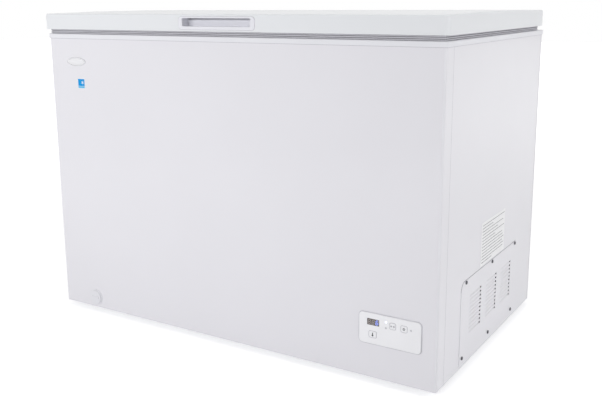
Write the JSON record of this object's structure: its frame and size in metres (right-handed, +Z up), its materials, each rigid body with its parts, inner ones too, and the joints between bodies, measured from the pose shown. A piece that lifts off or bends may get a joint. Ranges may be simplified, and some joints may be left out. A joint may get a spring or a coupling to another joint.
{
  "type": "chest freezer",
  "caption": "Long chest freezer with a crowned lift-up lid on sprung hinges, recessed pull, low front control panel, drain outlet and louvred side vent.",
  "frame": {"origin": "on the floor, under the middle of the whole outline with the lid closed", "axes": "+X to the right seen from the front, +Y to the back, +Z up"},
  "size_m": [1.177, 0.739, 0.8499],
  "materials": {
    "case_paint": "gloss",
    "lid_paint": "gloss",
    "galvanised_steel": "satin",
    "hinge_steel": "satin",
    "spring_steel": "satin",
    "screw_steel": "satin",
    "insulation_foam": "matte",
    "tub_aluminium": "satin",
    "rim_plastic": "satin",
    "lid_liner_plastic": "satin",
    "seal_vinyl": "satin",
    "pull_plastic": "satin",
    "fascia_plastic": "satin",
    "panel_seal_rubber": "matte",
    "display_plastic": "gloss",
    "lens_plastic": "gloss",
    "button_plastic": "satin",
    "board_laminate": "satin",
    "electronic_plastic": "satin",
    "housing_plastic": "matte",
    "cable_rubber": "matte",
    "badge_chrome": "polished",
    "drain_plastic": "satin",
    "drain_hose": "matte",
    "compressor_paint": "gloss",
    "motor_iron": "matte",
    "mount_rubber": "matte",
    "copper_tube": "satin",
    "coil_steel": "satin",
    "coil_aluminium": "satin",
    "basket_coating": "satin",
    "foot_plastic": "matte"
  },
  "bodies": {
    "cabinet": {"cabinet_wrap": "case_paint", "vent_cover": "case_paint", "back_panel": "galvanised_steel", "base_pan": "galvanised_steel", "bay_partition": "galvanised_steel", "compressor_tray": "galvanised_steel", "compressor_bracket": "galvanised_steel", "hinge_base_left": "hinge_steel", "hinge_base_right": "hinge_steel", "hinge_pin_left": "hinge_steel", "hinge_pin_right": "hinge_steel", "hinge_spring_left": "spring_steel", "hinge_spring_right": "spring_steel", "hinge_base_screws": "screw_steel", "foot_screws": "screw_steel", "vent_screws": "screw_steel", "compressor_bolts": "screw_steel", "foam_insulation": "insulation_foam", "inner_liner": "tub_aluminium", "top_rim": "rim_plastic", "control_fascia": "fascia_plastic", "control_seal": "panel_seal_rubber", "display_window": "display_plastic", "indicator_lenses": "lens_plastic", "control_board": "board_laminate", "display_module": "electronic_plastic", "tact_switches": "electronic_plastic", "control_housing": "housing_plastic", "relay_cover": "housing_plastic", "control_cable": "cable_rubber", "cord_gland": "cable_rubber", "badge_plate": "badge_chrome", "drain_outlet": "drain_plastic", "drain_tube": "drain_hose", "compressor_lower_shell": "compressor_paint", "compressor_upper_shell": "compressor_paint", "compressor_motor": "motor_iron", "compressor_grommets": "mount_rubber", "filter_drier": "copper_tube", "capillary_tube": "copper_tube", "discharge_tube": "copper_tube", "suction_tube": "copper_tube", "condenser_return": "copper_tube", "condenser_coil": "coil_steel", "evaporator_coil": "coil_aluminium", "feet": "foot_plastic"},
    "lid": {"lid_skin": "lid_paint", "lid_foam": "insulation_foam", "lid_liner": "lid_liner_plastic", "lid_gasket": "seal_vinyl", "handle_pull": "pull_plastic", "hinge_leaf_left": "hinge_steel", "hinge_leaf_right": "hinge_steel", "hinge_lid_screws": "screw_steel"},
    "button_mode": {"button_mode": "button_plastic"},
    "button_power": {"button_power": "button_plastic"},
    "button_temperature": {"button_temperature": "button_plastic"},
    "drain_cap": {"drain_cap": "drain_plastic"},
    "drain_plug": {"drain_plug": "drain_plastic"},
    "storage_basket": {"storage_basket": "basket_coating"}
  },
  "joints": [
    {"name": "lid_hinge", "type": "hinge", "parent": "cabinet", "child": "lid", "pos_m": [0, 0.3575, 0.8003], "axis": [-1, 0, 0], "range_deg": [0, 85]},
    {"name": "button_mode_press", "type": "slide", "parent": "cabinet", "child": "button_mode", "axis": [0, 1, 0], "range_m": [0, 0.001], "stiffness_N_per_m": 900},
    {"name": "button_power_press", "type": "slide", "parent": "cabinet", "child": "button_power", "axis": [0, 1, 0], "range_m": [0, 0.001], "stiffness_N_per_m": 900},
    {"name": "button_temperature_press", "type": "slide", "parent": "cabinet", "child": "button_temperature", "axis": [0, 1, 0], "range_m": [0, 0.001], "stiffness_N_per_m": 900},
    {"name": "drain_cap_pull", "type": "slide", "parent": "cabinet", "child": "drain_cap", "axis": [0, -1, 0], "range_m": [0, 0.03]},
    {"name": "drain_plug_lift", "type": "slide", "parent": "cabinet", "child": "drain_plug", "axis": [0, 0, 1], "range_m": [0, 0.05]},
    {"name": "basket_slide", "type": "slide", "parent": "cabinet", "child": "storage_basket", "axis": [-1, 0, 0], "range_m": [0, 0.74]}
  ]
}
